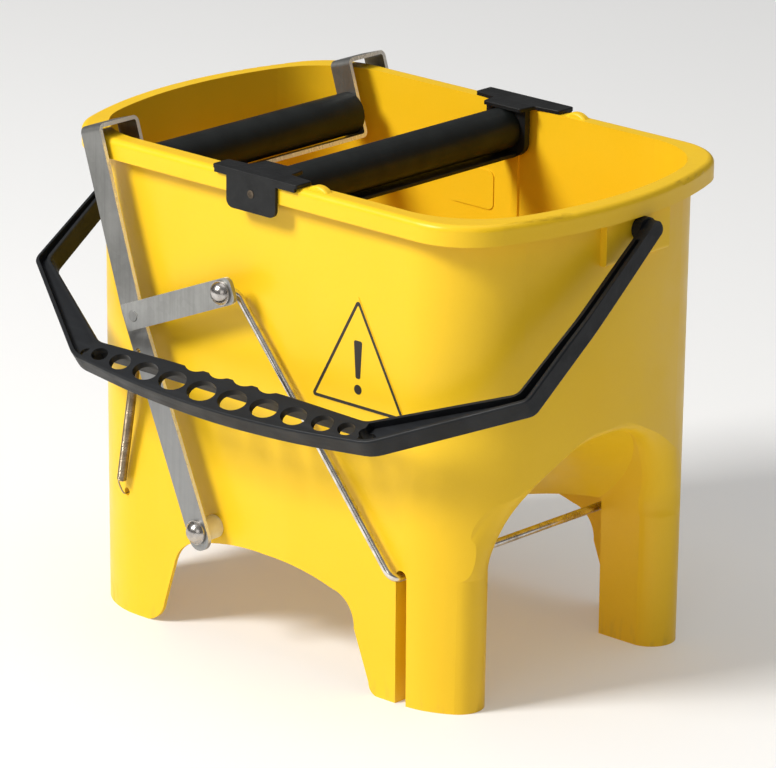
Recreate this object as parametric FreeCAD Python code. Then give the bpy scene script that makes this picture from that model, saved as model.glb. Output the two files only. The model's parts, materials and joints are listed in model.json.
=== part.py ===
import FreeCAD, Part
import math
import os

# Pedal-operated roller mop bucket. Millimetres, +Z up.
# Origin: on the floor, under the centre of the bucket. +X points to the pedal end,
# the long sides face -Y (near) and +Y (far).

V = FreeCAD.Vector
X_AXIS = V(1, 0, 0)
Y_AXIS = V(0, 1, 0)
Z_AXIS = V(0, 0, 1)
ORIGIN = V(0, 0, 0)

# Bucket shell
HEIGHT = 365.0
RIM_HALF_LENGTH = 224.0
RIM_HALF_WIDTH = 145.0
RIM_END_RADIUS = 303.0
RIM_CORNER_RADIUS = 54.0
RIM_DROP = 15.0
RIM_SKIN = 3.5
RIM_ROUND = 4.5
WALL_INSET = 11.0
WALL_DRAFT = 2.0
WALL_CORNER_RADIUS = 70.0
WALL_THICKNESS = 3.0
FLOOR_UNDERSIDE = 105.0
FLOOR_TOP = 108.0
TANK_BOTTOM_ROUND = 18.0

# Foot recess under the pedal end of the tank: an arched tunnel, closed by a sloping hollow ramp
RECESS_CENTRE_Y = -4.0
RECESS_HALF_WIDTH = 81.0
RECESS_SPRING = 100.0
RECESS_RISE = 90.0
RAMP_RADIUS = 85.3
RAMP_START_X = 77.0
RAMP_RUN = 135.0
RAMP_CLIMB = 91.0
JAMB_START_X = 137.0
LEG_ROUND = 19.0
CROWN_ROUND = 6.0
ROUND_FADE = 40.0
ROUND_BITE = 0.15

# Bumps on the rim
PIP_X = 55.0
PIP_LENGTH = 19.0
PIP_HEIGHT = 3.8
PIP_WIDTH = 7.0
PIP_ROUND = 2.0

# Leg arches: points on each flank (distance from the middle, height)
ARCH_TOP = 80.0
RIGHT_FLANK = ((111.0, 0.0), (103.5, 2.2), (100.5, 9.0), (86.0, 46.4), (80.0, 63.2), (65.0, 70.8), (33.0, 77.8))
LEFT_FLANK = ((121.0, 0.0), (109.5, 6.5), (104.3, 17.0), (92.6, 53.5), (88.0, 61.6), (78.0, 69.2), (40.0, 78.3))
END_FLANK = ((86.0, 0.0), (78.5, 2.2), (75.5, 9.0), (61.0, 46.4), (55.0, 63.2), (40.0, 70.8), (20.0, 77.8))

# Pedal slots
SLOT_X = 131.4
SLOT_HALF = 5.0
SLOT_TOP = 96.0
SLOT_RIB = 3.0
SLOT_RIB_Y = 119.0

# Wringer lever: pivot, bend and top on the lever's centre line (x, z)
PIVOT = (-52.0, 89.6)
KNEE = (-118.5, 243.0)
LEAN = 18.0
STRIP_WIDTH = 20.0
STRIP_THICKNESS = 3.0
LEVER_Y = 148.3
HOOK_RISE = 133.5
STRIP_BEND = 3.5
LEG_Y = 111.5
MOVING_AXIS_RISE = 96.2
ROLLER_RADIUS = 16.0
CRADLE_GAP = 1.2
PIVOT_END = 14.0
PIVOT_BOLT = 4.0
RUNNING_GAP = 0.05

# Link bar and pedal rod
LINK_LENGTH = 117.0
LINK_ANGLE = 22.4
LINK_START = (-122.2, 236.8)
LINK_HOLE_AT = 105.4
RIVET_AT = 9.5
ROD_RADIUS = 3.0
ROD_Y = 140.0
ROD_BEND = 8.0
BAR_REST = (129.7, 95.5)

# Fixed roller
FIXED_AXIS = (-2.0, 349.0)
FIXED_HALF = 120.0
MOVING_HALF = 110.0
SLEEVE_WALL = 4.0
AXLE_RADIUS = 4.0
BRACKET_Y = 145.3
BRACKET_SKIN = 2.6
BRACKET_LEFT = 38.0
BRACKET_RIGHT = 44.0
BEARING_Y = 121.0
BEARING_PLATE = 5.2

# Return springs: hook hole in the lever and hole in the wall (x, z)
SPRING_TOP = (-111.5, 213.6)
SPRING_FOOT = (-143.0, 94.0)
COIL_RADIUS = 3.6
SPRING_WIRE = 0.7

# Carrying handle, in its own plane: x across, u away from the pivots
HANDLE_PIVOT_Y = 15.0
HANDLE_PIVOT_Z = 340.0
HANDLE_TILT = 55.5
HANDLE_HOLE_X = 212.0
HANDLE_BLOCK_X = 218.0
ARM_INNER_X = 224.5
OUTER_EDGE = ((233.5, -8.0), (240.6, 90.0), (243.0, 168.5), (145.0, 238.2), (75.0, 246.6), (0.0, 250.0))
OUTER_BENDS = (250.0, 9.0, 30.0, 760.0, 760.0)
INNER_EDGE = ((224.5, -8.0), (230.9, 90.0), (230.0, 164.5), (132.0, 220.6), (62.0, 219.0))
INNER_BENDS = (250.0, 7.0, 18.0, 60.0)
HANDLE_THICKNESS = 16.0
PIVOT_THICKNESS = 12.0
HANDLE_WEB = 4.0
HANDLE_FLANGE = 3.0
GROOVE_END_X = 136.0
GRIP_WEB = 5.0
GRIP_POCKET_X = 130.5
GRIP_POCKET_U = 225.0
BOSS_RADIUS = 9.2
HOLLOW_PITCH = 24.0
HOLLOW_RADIUS = 16.0
HOLLOW_DEPTH = 3.5

SIDES = (("near", -1), ("far", 1))
ENDS = (("left", -1), ("right", 1))


def box(x0, x1, y0, y1, z0, z1):
    return Part.makeBox(x1 - x0, y1 - y0, z1 - z0, V(x0, y0, z0))


def tube_along(axis, start, radius, length, bore=0.0):
    solid = Part.makeCylinder(radius, length, start, axis)
    if bore > 0:
        solid = solid.cut(Part.makeCylinder(bore, length + 2, start - axis * 1.0, axis))
    return solid


def fuse_all(shapes):
    result = shapes[0]
    for shape in shapes[1:]:
        result = result.fuse(shape)
    return result.removeSplitter()


def mirrored(shape):
    return shape.mirror(ORIGIN, Y_AXIS)


def export(name, shapes):
    solids = []
    for shape in shapes:
        solids.extend(shape.Solids)
    shape = solids[0] if len(solids) == 1 else Part.makeCompound(solids)
    shape.exportStep("parts/" + name + ".step")
    volume = sum(solid.Volume for solid in solids)
    valid = all(solid.isValid() for solid in solids)
    print(name, len(solids), "solids", round(volume / 1000, 2), "cm3", "valid" if valid else "INVALID")


def polygon(points):
    return Part.makePolygon(list(points) + [points[0]])


def arc(p1, p2, p3):
    return Part.Arc(p1, p2, p3).toShape()


def line(p1, p2):
    return Part.LineSegment(p1, p2).toShape()


# ---------------------------------------------------------------- outlines

def outline(half_length, half_width, end_radius, corner, z):
    """Rounded rectangle with bowed ends, as a wire of eight edges at height z."""
    end_centre = half_length - end_radius
    corner_y = half_width - corner
    corner_x = end_centre + math.sqrt((end_radius - corner) ** 2 - corner_y ** 2)
    turn = math.atan2(corner_y, corner_x - end_centre)
    mid = (turn + math.pi / 2) / 2

    def on_end(angle, sx):
        return V(sx * (end_centre + end_radius * math.cos(angle)), end_radius * math.sin(angle), z)

    def on_corner(angle, sx, sy):
        x = corner_x + corner * math.cos(angle)
        y = corner_y + corner * math.sin(angle)
        return V(sx * x, sy * y, z)

    top = math.pi / 2
    edges = [
        arc(on_end(-turn, 1), on_end(0, 1), on_end(turn, 1)),
        arc(on_corner(turn, 1, 1), on_corner(mid, 1, 1), on_corner(top, 1, 1)),
        line(on_corner(top, 1, 1), on_corner(top, -1, 1)),
        arc(on_corner(top, -1, 1), on_corner(mid, -1, 1), on_corner(turn, -1, 1)),
        arc(on_end(turn, -1), on_end(0, -1), on_end(-turn, -1)),
        arc(on_corner(turn, -1, -1), on_corner(mid, -1, -1), on_corner(top, -1, -1)),
        line(on_corner(top, -1, -1), on_corner(top, 1, -1)),
        arc(on_corner(top, 1, -1), on_corner(mid, 1, -1), on_corner(turn, 1, -1)),
    ]
    return Part.Wire(edges)


def wall_outline(z, inward):
    inset = WALL_INSET + WALL_DRAFT * (HEIGHT - z) / HEIGHT + inward
    return outline(RIM_HALF_LENGTH - inset, RIM_HALF_WIDTH - inset, RIM_END_RADIUS - inset,
                   WALL_CORNER_RADIUS - inward, z)


def wall_block(z0, z1, inward):
    return Part.makeLoft([wall_outline(z0, inward), wall_outline(z1, inward)], True, True)


def rim_block(z0, z1, inward):
    wire = outline(RIM_HALF_LENGTH - inward, RIM_HALF_WIDTH - inward, RIM_END_RADIUS - inward,
                   RIM_CORNER_RADIUS - inward, z0)
    return Part.Face(wire).extrude(V(0, 0, z1 - z0))


# ---------------------------------------------------------------- foot recess

def end_wall_x(y, z):
    """Outer face of the pedal end wall at (y, z)."""
    inset = WALL_INSET + WALL_DRAFT * (HEIGHT - z) / HEIGHT
    radius = RIM_END_RADIUS - inset
    centre = RIM_HALF_LENGTH - RIM_END_RADIUS
    corner_y = RIM_HALF_WIDTH - inset - WALL_CORNER_RADIUS
    joint_y = corner_y * radius / (radius - WALL_CORNER_RADIUS)
    if abs(y) <= joint_y:
        return centre + math.sqrt(radius ** 2 - y ** 2)
    corner_x = centre + math.sqrt((radius - WALL_CORNER_RADIUS) ** 2 - corner_y ** 2)
    return corner_x + math.sqrt(WALL_CORNER_RADIUS ** 2 - (abs(y) - corner_y) ** 2)


def ramp_wire(grow, z):
    """U shape, open outside the bucket, with a half-round inner end at height z."""
    outer = 2 * RIM_HALF_LENGTH
    radius = RAMP_RADIUS + grow
    slope = math.hypot(RAMP_RUN, RAMP_CLIMB) / RAMP_CLIMB
    inner = RAMP_START_X + (z - FLOOR_UNDERSIDE) * RAMP_RUN / RAMP_CLIMB - grow * slope
    low = RECESS_CENTRE_Y - radius
    high = RECESS_CENTRE_Y + radius
    centre = inner + radius
    edges = [
        line(V(outer, low, z), V(centre, low, z)),
        arc(V(centre, low, z), V(inner, RECESS_CENTRE_Y, z), V(centre, high, z)),
        line(V(centre, high, z), V(outer, high, z)),
        line(V(outer, high, z), V(outer, low, z)),
    ]
    return Part.Wire(edges)


def ramp_x(y, z):
    """Where the ramp's surface lies at (y, z)."""
    inner = RAMP_START_X + (z - FLOOR_UNDERSIDE) * RAMP_RUN / RAMP_CLIMB
    return inner + RAMP_RADIUS - math.sqrt(RAMP_RADIUS ** 2 - (y - RECESS_CENTRE_Y) ** 2)


def tunnel(grow):
    """Arched tunnel along X: upright jambs under half an ellipse."""
    half = RECESS_HALF_WIDTH + grow
    y = RECESS_CENTRE_Y
    crown = V(0, y, RECESS_SPRING + RECESS_RISE + grow)
    ellipse = Part.Ellipse(crown, V(0, y + half, RECESS_SPRING), V(0, y, RECESS_SPRING))
    top = ellipse.toShape(-math.pi / 2, math.pi / 2)
    start = top.Vertexes[0].Point
    end = top.Vertexes[-1].Point
    edges = [
        top,
        line(end, V(0, end.y, -1)),
        line(V(0, end.y, -1), V(0, start.y, -1)),
        line(V(0, start.y, -1), start),
    ]
    return Part.Face(Part.Wire(edges)).extrude(V(2 * RIM_HALF_LENGTH, 0, 0))


def mouth_round(angle):
    """Radius of the rounding between tunnel and end wall. It fades towards the crown."""
    from_crown = abs(angle - 90.0)
    return CROWN_ROUND + (LEG_ROUND - CROWN_ROUND) * min(1.0, (from_crown / ROUND_FADE) ** 1.5)


def mouth_section(angle, drop, grow):
    """Space outside the rounded mouth edge, as a wire across the edge. drop lowers a leg section."""
    a = math.radians(angle)
    base_y = RECESS_CENTRE_Y + RECESS_HALF_WIDTH * math.cos(a)
    base_z = RECESS_SPRING + RECESS_RISE * math.sin(a) - drop
    out = V(0, math.cos(a) / RECESS_HALF_WIDTH, math.sin(a) / RECESS_RISE).normalize()
    radius = mouth_round(angle)

    def wall_at(n):
        return end_wall_x(base_y + out.y * n, base_z + out.z * n)

    turn = 0.0
    for _ in range(8):
        reach = radius * (1 + math.sin(turn))
        turn = math.atan(wall_at(reach - 0.5) - wall_at(reach + 0.5))
    centre = wall_at(radius * (1 + math.sin(turn))) - radius * math.cos(turn)
    centre = max(centre, ramp_x(base_y, base_z) + 1.0) + ROUND_BITE

    def at(x, n):
        return V(x, base_y + out.y * n, base_z + out.z * n)

    def on_round(t):
        curve = radius - grow
        return (centre + curve * math.cos(t), radius - ROUND_BITE + curve * math.sin(t))

    start = on_round(-math.pi / 2)
    middle = on_round((turn - math.pi / 2) / 2)
    end = on_round(turn)
    lean = turn - 0.25
    far = (end[0] - 40 * math.sin(lean), end[1] + 40 * math.cos(lean))
    outer = RIM_HALF_LENGTH + 60
    root = start[1] - 0.5
    edges = [
        arc(at(*start), at(*middle), at(*end)),
        line(at(*end), at(*far)),
        line(at(*far), at(outer, far[1])),
        line(at(outer, far[1]), at(outer, root)),
        line(at(outer, root), at(centre, root)),
        line(at(centre, root), at(*start)),
    ]
    return Part.Wire(edges)


def recess(grow):
    """Foot recess with its surfaces moved out by grow."""
    low = Part.Face(ramp_wire(grow, FLOOR_UNDERSIDE)).extrude(V(0, 0, -FLOOR_UNDERSIDE - 1))
    ramp = Part.makeLoft([ramp_wire(grow, FLOOR_UNDERSIDE), ramp_wire(grow, FLOOR_UNDERSIDE + RAMP_CLIMB + 10)],
                         True, True)
    space = low.fuse(ramp).common(tunnel(grow))
    arch = [mouth_section(angle, 0, grow) for angle in range(0, 181, 15)]
    space = space.fuse(Part.makeLoft(arch, True, False))
    for angle in (0, 180):
        leg = [mouth_section(angle, drop, grow) for drop in (0, RECESS_SPRING + 1)]
        space = space.fuse(Part.makeLoft(leg, True, True))
    return space


# ---------------------------------------------------------------- leg arches

def arch_face(right_flank, left_flank):
    """Arch profile in the XZ plane, open at the floor."""
    def flank(points, s):
        return [V(s * points[0][0], 0, -1)] + [V(s * x, 0, z) for x, z in points]

    right = flank(right_flank, 1)
    left = flank(left_flank, -1)
    top = V(0, 0, ARCH_TOP)
    edges = [
        line(left[0], right[0]),
        line(right[0], right[1]),
        arc(right[1], right[2], right[3]),
        line(right[3], right[4]),
        arc(right[4], right[5], right[6]),
        arc(right[6], right[7], top),
        arc(top, left[7], left[6]),
        arc(left[6], left[5], left[4]),
        line(left[4], left[3]),
        arc(left[3], left[2], left[1]),
        line(left[1], left[0]),
    ]
    return Part.Face(Part.Wire(edges))


def side_arch():
    return arch_face(RIGHT_FLANK, LEFT_FLANK).extrude(V(0, 160, 0))


def left_end_arch():
    face = arch_face(END_FLANK, END_FLANK)
    face.rotate(ORIGIN, Z_AXIS, 90)
    face.translate(V(-240, 0, 0))
    return face.extrude(V(70, 0, 0))


# ---------------------------------------------------------------- bucket body

def pedal_slot(sign):
    y0, y1 = (115, 145) if sign > 0 else (-145, -115)
    cut = box(SLOT_X - SLOT_HALF, SLOT_X + SLOT_HALF, y0, y1, -1, SLOT_TOP)
    return cut.fuse(tube_along(Y_AXIS, V(SLOT_X, y0, SLOT_TOP), SLOT_HALF, y1 - y0))


def slot_ribs():
    """Guide ribs behind the wall on both sides of a pedal slot, on the far side."""
    ribs = []
    for x in (SLOT_X - SLOT_HALF - SLOT_RIB, SLOT_X + SLOT_HALF):
        ribs.append(box(x, x + SLOT_RIB, SLOT_RIB_Y, 131, 0, FLOOR_UNDERSIDE + 1))
    return ribs


def rim_pip():
    """Low rounded bump on the far rim, beside the bracket."""
    radius = (PIP_LENGTH ** 2 / 4 + PIP_HEIGHT ** 2) / (2 * PIP_HEIGHT)
    y0 = RIM_HALF_WIDTH - RIM_ROUND - PIP_WIDTH
    drum = tube_along(Y_AXIS, V(PIP_X, y0, HEIGHT + PIP_HEIGHT - radius), radius, PIP_WIDTH)
    drum = drum.makeFillet(PIP_ROUND, [e for e in drum.Edges if e.BoundBox.YLength < 0.1])
    return drum.common(box(PIP_X - PIP_LENGTH, PIP_X + PIP_LENGTH, y0 - 1, RIM_HALF_WIDTH, HEIGHT - 1, HEIGHT + 10))


def handle_boss(sign):
    """Raised block and pivot boss on a short end, below the rim."""
    x = HANDLE_BLOCK_X
    block = box(x - 13, x, HANDLE_PIVOT_Y - 34, HANDLE_PIVOT_Y + 34, 318, HEIGHT - RIM_DROP + 5)
    edges = [e for e in block.Edges if e.BoundBox.XMin > x - 1 and e.BoundBox.ZMax < HEIGHT - RIM_DROP + 4]
    block = block.makeFillet(3.0, edges)
    if sign < 0:
        block = block.mirror(ORIGIN, X_AXIS)
    return block


def bucket_body():
    inner = WALL_THICKNESS
    recess_outer = recess(WALL_THICKNESS)
    block = wall_block(0, HEIGHT, 0).cut(recess(0))

    rim = rim_block(HEIGHT - RIM_DROP, HEIGHT, 0)
    top_edges = [e for e in rim.Edges if e.BoundBox.ZMin > HEIGHT - 0.1]
    rim = rim.makeFillet(RIM_ROUND, top_edges)
    rim = rim.cut(rim_block(HEIGHT - RIM_DROP - 1, HEIGHT - RIM_SKIN, RIM_SKIN))

    under = wall_block(-1, FLOOR_UNDERSIDE, inner)
    legs_space = under.cut(recess_outer)
    open_space = under.common(box(-300, JAMB_START_X, -200, 200, -2, FLOOR_UNDERSIDE))

    tank = wall_block(FLOOR_TOP, HEIGHT + 1, inner)
    bottom_edges = [e for e in tank.Edges if e.BoundBox.ZMax < FLOOR_TOP + 0.1]
    tank = tank.makeFillet(TANK_BOTTOM_ROUND, bottom_edges)
    tank = tank.cut(recess_outer)

    body = block.fuse(rim)
    for sign in (-1, 1):
        body = body.fuse(handle_boss(sign))
    body = body.cut(tank).cut(legs_space).cut(open_space)

    arch = side_arch()
    body = body.cut(arch).cut(mirrored(arch)).cut(left_end_arch())

    for sign in (-1, 1):
        body = body.cut(pedal_slot(sign))
        fitted = slot_ribs() + [rim_pip()]
        for piece in fitted:
            body = body.fuse(piece if sign > 0 else mirrored(piece))
        y = sign * 138
        hole = tube_along(Y_AXIS * sign, V(PIVOT[0], sign * 118, PIVOT[1]), PIVOT_BOLT + RUNNING_GAP, 24)
        body = body.cut(hole)
        body = body.cut(tube_along(Y_AXIS * sign, V(SPRING_FOOT[0], y - sign * 14, SPRING_FOOT[1]), 3.0, 20))
        start = V(sign * HANDLE_HOLE_X, HANDLE_PIVOT_Y, HANDLE_PIVOT_Z)
        body = body.cut(tube_along(X_AXIS * sign, start, 5.1, 40))
        screw = V(FIXED_AXIS[0], sign * (RIM_HALF_WIDTH - RIM_SKIN - 3), 353)
        body = body.cut(tube_along(Y_AXIS * sign, screw, 2.0, 12))
    return body.removeSplitter()


def wall_details():
    """Raised panel and upright rib inside the far wall, moulded with the body."""
    y = RIM_HALF_WIDTH - WALL_INSET - WALL_THICKNESS - 1.2
    panel = box(-64, -20, y, y + 3, 280, 310)
    panel = panel.makeFillet(5.0, [e for e in panel.Edges if e.Length < 4])
    rib = box(-1.5, 4.5, y - 0.8, y + 3, 150, 330)
    return panel, rib


# ---------------------------------------------------------------- wringer yoke

def lever_frame(shape):
    """Turns a shape built upright at x = 0 into the leaning upper lever."""
    shape.rotate(ORIGIN, Y_AXIS, -LEAN)
    shape.translate(V(KNEE[0], 0, KNEE[1]))
    return shape


def lever_point(rise):
    a = math.radians(LEAN)
    return (KNEE[0] - rise * math.sin(a), KNEE[1] + rise * math.cos(a))


def bent_edges(points, radii):
    """Straight runs joined by tangent arcs, one radius for each inner point."""
    edges = []
    last = points[0]
    for before, corner, after, radius in zip(points, points[1:], points[2:], radii):
        a = (before - corner).normalize()
        b = (after - corner).normalize()
        half_turn = math.acos(max(-1, min(1, a.dot(b)))) / 2
        reach = radius / math.tan(half_turn)
        start = corner + a * reach
        end = corner + b * reach
        inward = (a + b).normalize()
        mid = corner + inward * (radius / math.sin(half_turn) - radius)
        edges.append(line(last, start))
        edges.append(arc(start, mid, end))
        last = end
    edges.append(line(last, points[-1]))
    return edges


def strip_side(path, distance):
    """One face of a strip bent along a path of square turns in the YZ plane, as points and bend radii."""
    points = []
    radii = []
    for i, corner in enumerate(path):
        normals = []
        for a, b in ((i - 1, i), (i, i + 1)):
            if a >= 0 and b < len(path):
                normals.append(X_AXIS.cross(path[b] - path[a]).normalize())
        points.append(corner + sum(normals, V()) * distance)
        if len(normals) == 2:
            turn = normals[0].cross(normals[1]).x
            radii.append(STRIP_BEND - turn * distance)
    return points, radii


def yoke_band():
    half = STRIP_THICKNESS / 2
    x = -STRIP_WIDTH / 2
    outer = LEVER_Y + half
    leg = LEG_Y + half
    cradle = MOVING_AXIS_RISE - ROLLER_RADIUS - CRADLE_GAP - half
    top = HOOK_RISE + half
    path = [V(x, -outer, 0), V(x, -outer, top), V(x, -leg, top), V(x, -leg, cradle),
            V(x, leg, cradle), V(x, leg, top), V(x, outer, top), V(x, outer, 0)]
    side_a, radii_a = strip_side(path, half)
    side_b, radii_b = strip_side(path, -half)
    edges = bent_edges(side_a, radii_a)
    edges.append(line(side_a[-1], side_b[-1]))
    edges += bent_edges(side_b[::-1], radii_b[::-1])
    edges.append(line(side_b[0], side_a[0]))
    return Part.Face(Part.Wire(edges)).extrude(V(STRIP_WIDTH, 0, 0))


def lever_foot(sign):
    """Lower lever from the bend to the pivot bolt."""
    dx = PIVOT[0] - KNEE[0]
    dz = PIVOT[1] - KNEE[1]
    length = math.hypot(dx, dz)
    plate = box(-STRIP_WIDTH / 2, STRIP_WIDTH / 2, LEVER_Y, LEVER_Y + STRIP_THICKNESS,
                -length - PIVOT_END, 0)
    ends = [e for e in plate.Edges if e.BoundBox.ZMax < -length - 1 and e.BoundBox.YLength > 1]
    plate = plate.makeFillet(STRIP_WIDTH / 2 - 0.5, ends)
    disc = tube_along(Y_AXIS, V(0, LEVER_Y, 0), STRIP_WIDTH / 2, STRIP_THICKNESS)
    plate = plate.fuse(disc)
    plate.rotate(ORIGIN, Y_AXIS, -math.degrees(math.atan2(dx, -dz)))
    plate.translate(V(KNEE[0], 0, KNEE[1]))
    holes = [(PIVOT, PIVOT_BOLT + RUNNING_GAP), (SPRING_TOP, 2.2)]
    for (x, z), radius in holes:
        plate = plate.cut(tube_along(Y_AXIS, V(x, LEVER_Y - 2, z), radius, 8))
    return plate if sign > 0 else mirrored(plate)


def wringer_yoke():
    band = lever_frame(yoke_band())
    yoke = fuse_all([band, lever_foot(-1), lever_foot(1)])
    x, z = lever_point(MOVING_AXIS_RISE)
    return yoke.cut(tube_along(Y_AXIS, V(x, -LEG_Y - 5, z), AXLE_RADIUS + 0.02, 2 * LEG_Y + 10))


def link_bar(sign):
    y = LEVER_Y + STRIP_THICKNESS
    bar = box(0, LINK_LENGTH, y, y + STRIP_THICKNESS, -STRIP_WIDTH / 2, STRIP_WIDTH / 2)
    upright = [e for e in bar.Edges if e.BoundBox.YLength > 1]
    ends = [e for e in upright if e.BoundBox.XMin > 1]
    starts = [e for e in upright if e.BoundBox.XMax < 1]
    bar = bar.makeFillet(6.0, ends)
    bar = bar.cut(tube_along(Y_AXIS, V(LINK_HOLE_AT, y - 1, 0), ROD_RADIUS + RUNNING_GAP, 8))
    bar = bar.cut(tube_along(Y_AXIS, V(RIVET_AT, y - 1, 0), 2.5, 8))
    bar.rotate(ORIGIN, Y_AXIS, -LINK_ANGLE)
    bar.translate(V(LINK_START[0], 0, LINK_START[1]))
    return bar if sign > 0 else mirrored(bar)


def link_point(distance):
    a = math.radians(LINK_ANGLE)
    return (LINK_START[0] + distance * math.cos(a), LINK_START[1] + distance * math.sin(a))


def link_rivet(sign):
    x, z = link_point(RIVET_AT)
    y = LEVER_Y + 2 * STRIP_THICKNESS
    head = tube_along(Y_AXIS, V(x, y, z), 4.2, 0.7)
    head = head.makeFillet(0.4, [head.Edges[0]])
    shank = tube_along(Y_AXIS, V(x, y - STRIP_THICKNESS, z), 2.48, STRIP_THICKNESS)
    rivet = head.fuse(shank)
    return rivet if sign > 0 else mirrored(rivet)


def dome_cap(x, z, y, bore, sign):
    """Push-on domed cap whose flat face lies at y."""
    radius = 9.0
    height = 7.2
    sphere_radius = (radius ** 2 + height ** 2) / (2 * height)
    dome = Part.makeSphere(sphere_radius, V(x, y + height - sphere_radius, z))
    dome = dome.common(box(x - 12, x + 12, y + 1.2, y + 12, z - 12, z + 12))
    flange = tube_along(Y_AXIS, V(x, y, z), radius, 1.6)
    cap = dome.fuse(flange).cut(tube_along(Y_AXIS, V(x, y - 1, z), bore + 0.02, 5.2))
    cap = cap.removeSplitter()
    return cap if sign > 0 else mirrored(cap)


# ---------------------------------------------------------------- rollers

def roller_sleeve(x, z, half):
    return tube_along(Y_AXIS, V(x, -half, z), ROLLER_RADIUS, 2 * half, ROLLER_RADIUS - SLEEVE_WALL)


def roller_caps(x, z, half):
    caps = []
    plug = ROLLER_RADIUS - SLEEVE_WALL - 0.05
    for sign in (-1, 1):
        cap = tube_along(Y_AXIS, V(x, half - 14, z), plug, 14)
        boss = tube_along(Y_AXIS, V(x, half, z), 7.0, 0.8)
        cap = cap.fuse(boss).cut(tube_along(Y_AXIS, V(x, half - 16, z), AXLE_RADIUS + 0.06, 20))
        caps.append(cap if sign > 0 else mirrored(cap))
    return caps


def moving_axle():
    x, z = lever_point(MOVING_AXIS_RISE)
    half = LEG_Y + STRIP_THICKNESS + 0.5
    return tube_along(Y_AXIS, V(x, -half, z), AXLE_RADIUS, 2 * half)


def fixed_axle():
    x, z = FIXED_AXIS
    half = BEARING_Y + BEARING_PLATE - 0.6
    return tube_along(Y_AXIS, V(x, -half, z), AXLE_RADIUS, 2 * half)


# ---------------------------------------------------------------- fixed roller bracket

def end_bracket(sign):
    """Saddle over the rim: outer flap, top plate, tongue and inner bearing plate."""
    x = FIXED_AXIS[0]
    top0 = HEIGHT + 0.3
    top1 = top0 + BRACKET_SKIN + 0.4
    outer = BRACKET_Y + BRACKET_SKIN
    left = x - BRACKET_LEFT
    right = x + BRACKET_RIGHT
    plan = [
        V(left, 131.5, top0), V(x - 18, 129.5, top0), V(x - 16, 115, top0), V(x + 20, 115, top0),
        V(x + 22, 129.5, top0), V(right, 131.5, top0), V(right, outer, top0), V(left, outer, top0),
    ]
    plate = Part.Face(polygon(plan)).extrude(V(0, 0, top1 - top0))
    plate = plate.makeFillet(2.0, [e for e in plate.Edges if e.BoundBox.ZLength > 1])
    skirt = box(left + 2, right - 2, BRACKET_Y, outer, HEIGHT - 2.5, top1)
    flap = box(x - 24, x + 24, BRACKET_Y, outer, 339.5, top1)
    flap = flap.makeFillet(6.0, [e for e in flap.Edges
                                 if e.BoundBox.YLength > 1 and e.BoundBox.ZMax < 340])
    inner = box(x - 18, x + 20, BEARING_Y, BEARING_Y + BEARING_PLATE, 329, top0 + 1)
    inner = inner.makeFillet(12.0, [e for e in inner.Edges
                                    if e.BoundBox.YLength > 1 and e.BoundBox.ZMax < 330])
    bracket = fuse_all([plate, skirt, flap, inner])
    bracket = bracket.makeFillet(0.9, [e for e in bracket.Edges if e.BoundBox.ZMin > top1 - 0.05])
    bracket = bracket.cut(tube_along(Y_AXIS, V(x, BEARING_Y - 1, FIXED_AXIS[1]), AXLE_RADIUS + 0.02, 8))
    bracket = bracket.cut(tube_along(Y_AXIS, V(x, BRACKET_Y - 1, 353), 2.2, 8))
    return bracket if sign > 0 else mirrored(bracket)


def cradle_bar():
    x = FIXED_AXIS[0]
    half = BEARING_Y - 0.05
    bar = box(x - 12, x + 12, -half, half, 329, 332)
    return bar.makeFillet(0.8, [e for e in bar.Edges if e.Length > 100])


def bracket_screw(sign):
    x = FIXED_AXIS[0]
    y = BRACKET_Y + BRACKET_SKIN
    head = tube_along(Y_AXIS, V(x, y, 353), 3.0, 0.35)
    shank = tube_along(Y_AXIS, V(x, RIM_HALF_WIDTH - RIM_SKIN - 2, 353), 1.95, y - RIM_HALF_WIDTH + RIM_SKIN + 2)
    screw = head.fuse(shank)
    for a, b in ((1.9, 0.5), (0.5, 1.9)):
        screw = screw.cut(box(x - a, x + a, y + 0.1, y + 3, 353 - b, 353 + b))
    return screw if sign > 0 else mirrored(screw)


# ---------------------------------------------------------------- pivots

def pivot_bolt(sign):
    start = RIM_HALF_WIDTH - WALL_INSET - WALL_DRAFT - WALL_THICKNESS - 10
    end = LEVER_Y + STRIP_THICKNESS + 3.8
    bolt = tube_along(Y_AXIS, V(PIVOT[0], start, PIVOT[1]), PIVOT_BOLT, end - start)
    return bolt if sign > 0 else mirrored(bolt)


def wall_face_at_pivot():
    return RIM_HALF_WIDTH - WALL_INSET - WALL_DRAFT * (HEIGHT - PIVOT[1]) / HEIGHT


def pivot_spacer(sign):
    y0 = wall_face_at_pivot() + 0.1
    spacer = tube_along(Y_AXIS, V(PIVOT[0], y0, PIVOT[1]), 8.6, LEVER_Y - 0.3 - y0, PIVOT_BOLT + 0.02)
    return spacer if sign > 0 else mirrored(spacer)


def pivot_washer(sign):
    y1 = wall_face_at_pivot() - WALL_THICKNESS - 0.1
    washer = tube_along(Y_AXIS, V(PIVOT[0], y1 - 1.5, PIVOT[1]), 9.0, 1.5, PIVOT_BOLT + 0.02)
    return washer if sign > 0 else mirrored(washer)


def pivot_nut(sign):
    y1 = wall_face_at_pivot() - WALL_THICKNESS - 1.6
    points = []
    for i in range(6):
        a = math.radians(60 * i)
        points.append(V(PIVOT[0] + 7.5 * math.cos(a), y1 - 6, PIVOT[1] + 7.5 * math.sin(a)))
    nut = Part.Face(polygon(points)).extrude(V(0, 6, 0))
    nut = nut.cut(tube_along(Y_AXIS, V(PIVOT[0], y1 - 8, PIVOT[1]), PIVOT_BOLT + 0.02, 10))
    return nut if sign > 0 else mirrored(nut)


# ---------------------------------------------------------------- pedal rod

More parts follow.
